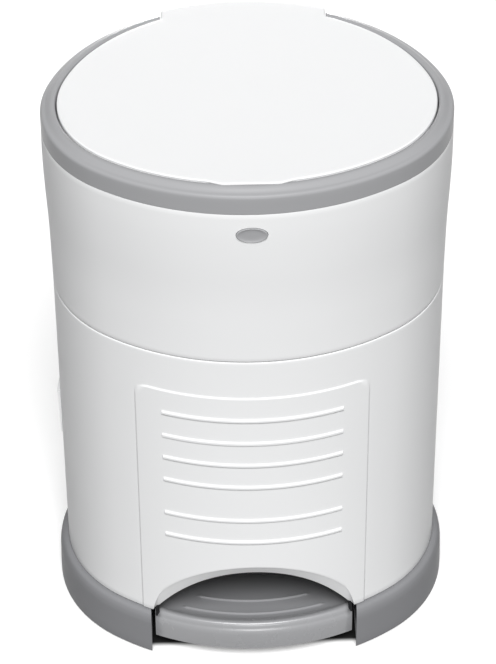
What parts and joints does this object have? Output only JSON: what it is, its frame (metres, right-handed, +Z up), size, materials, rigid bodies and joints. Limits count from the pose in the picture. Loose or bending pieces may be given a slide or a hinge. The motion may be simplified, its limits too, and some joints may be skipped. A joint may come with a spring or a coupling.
{
  "type": "nappy bin",
  "caption": "Oval pedal nappy bin: flush hinged lid in a grey collar, release button, ribbed front door, wide pedal under an arch, trap flaps and a film cassette.",
  "frame": {"origin": "on the floor, at the centre of the middle foot's face, under the middle of the base", "axes": "+Z up, -Y towards the user (button, door panel and pedal), +X to the right as seen from the front"},
  "size_m": [0.3, 0.2566, 0.435],
  "materials": {
    "white_shell": "satin moulded",
    "inner_plastic": "satin moulded",
    "grey_plastic": "satin moulded",
    "dark_plastic": "fine texture",
    "steel": "bright zinc",
    "rubber": "matt",
    "film": "folded film"
  },
  "bodies": {
    "bin": {"base_ring": "grey_plastic", "feet": "rubber", "base_screws": "steel", "chamber_floor": "inner_plastic", "toe_shroud": "dark_plastic", "pedal_axle": "steel", "rod_guides": "inner_plastic", "rod_cover": "white_shell", "lower_body": "white_shell", "body_screws": "steel", "upper_body": "white_shell", "cassette": "inner_plastic", "film_pack": "film", "door_pins": "steel", "button_springs": "steel"},
    "pedal": {"pedal": "grey_plastic", "pedal_lever": "steel", "lever_screws": "steel"},
    "push_rod": {"push_rod": "steel", "rod_shoe": "dark_plastic"},
    "door": {"front_door": "white_shell", "cutter_housing": "dark_plastic", "cutter_blade": "steel", "latch_spring": "steel"},
    "door_latch": {"door_latch": "white_shell"},
    "collar": {"collar": "grey_plastic", "hopper": "inner_plastic", "hopper_screws": "steel", "collar_hook": "dark_plastic", "collar_pin": "steel", "flap_pins": "steel", "flap_springs": "steel"},
    "flap_left": {"flap_left": "inner_plastic"},
    "flap_right": {"flap_right": "inner_plastic"},
    "release_button": {"release_button": "grey_plastic"},
    "lid": {"lid_cover": "white_shell", "lid_liner": "inner_plastic", "lid_seal": "rubber", "lid_pin": "steel"}
  },
  "joints": [
    {"name": "pedal_press", "type": "hinge", "parent": "bin", "child": "pedal", "pos_m": [0, -0.058, 0.021], "axis": [1, 0, 0], "range_deg": [0, 8]},
    {"name": "rod_lift", "type": "slide", "parent": "bin", "child": "push_rod", "axis": [0, 0, 1], "range_m": [0, 0.0223]},
    {"name": "lid_open", "type": "hinge", "parent": "collar", "child": "lid", "pos_m": [0, 0.117, 0.4285], "axis": [-1, 0, 0], "range_deg": [0, 75]},
    {"name": "collar_open", "type": "hinge", "parent": "bin", "child": "collar", "pos_m": [0, 0.126, 0.4125], "axis": [-1, 0, 0], "range_deg": [0, 65]},
    {"name": "button_press", "type": "slide", "parent": "bin", "child": "release_button", "axis": [0, 1, 0], "range_m": [0, 0.003], "stiffness_N_per_m": 600, "springref_m": -0.002, "deforming": ["button_springs"]},
    {"name": "flap_left_swing", "type": "hinge", "parent": "collar", "child": "flap_left", "pos_m": [-0.064, -0.014, 0.35], "axis": [0, 1, 0], "range_deg": [0, 70], "stiffness_Nm_per_rad": 0.03, "springref_deg": -34.38},
    {"name": "flap_right_swing", "type": "hinge", "parent": "collar", "child": "flap_right", "pos_m": [0.064, -0.014, 0.35], "axis": [0, -1, 0], "range_deg": [0, 70], "stiffness_Nm_per_rad": 0.03, "springref_deg": -34.38},
    {"name": "door_swing", "type": "hinge", "parent": "bin", "child": "door", "pos_m": [0.132, 0.02332, 0.163], "axis": [0, 0, 1], "range_deg": [0, 92]},
    {"name": "latch_press", "type": "slide", "parent": "door", "child": "door_latch", "axis": [1, 0, 0], "range_m": [0, 0.004], "stiffness_N_per_m": 600, "springref_m": -0.002, "deforming": ["latch_spring"]}
  ],
  "couplings": [
    {"joint": "lid_open", "follows": "pedal_press", "ratio": 9.375},
    {"joint": "rod_lift", "follows": "pedal_press", "m_per_rad": 0.1597}
  ]
}
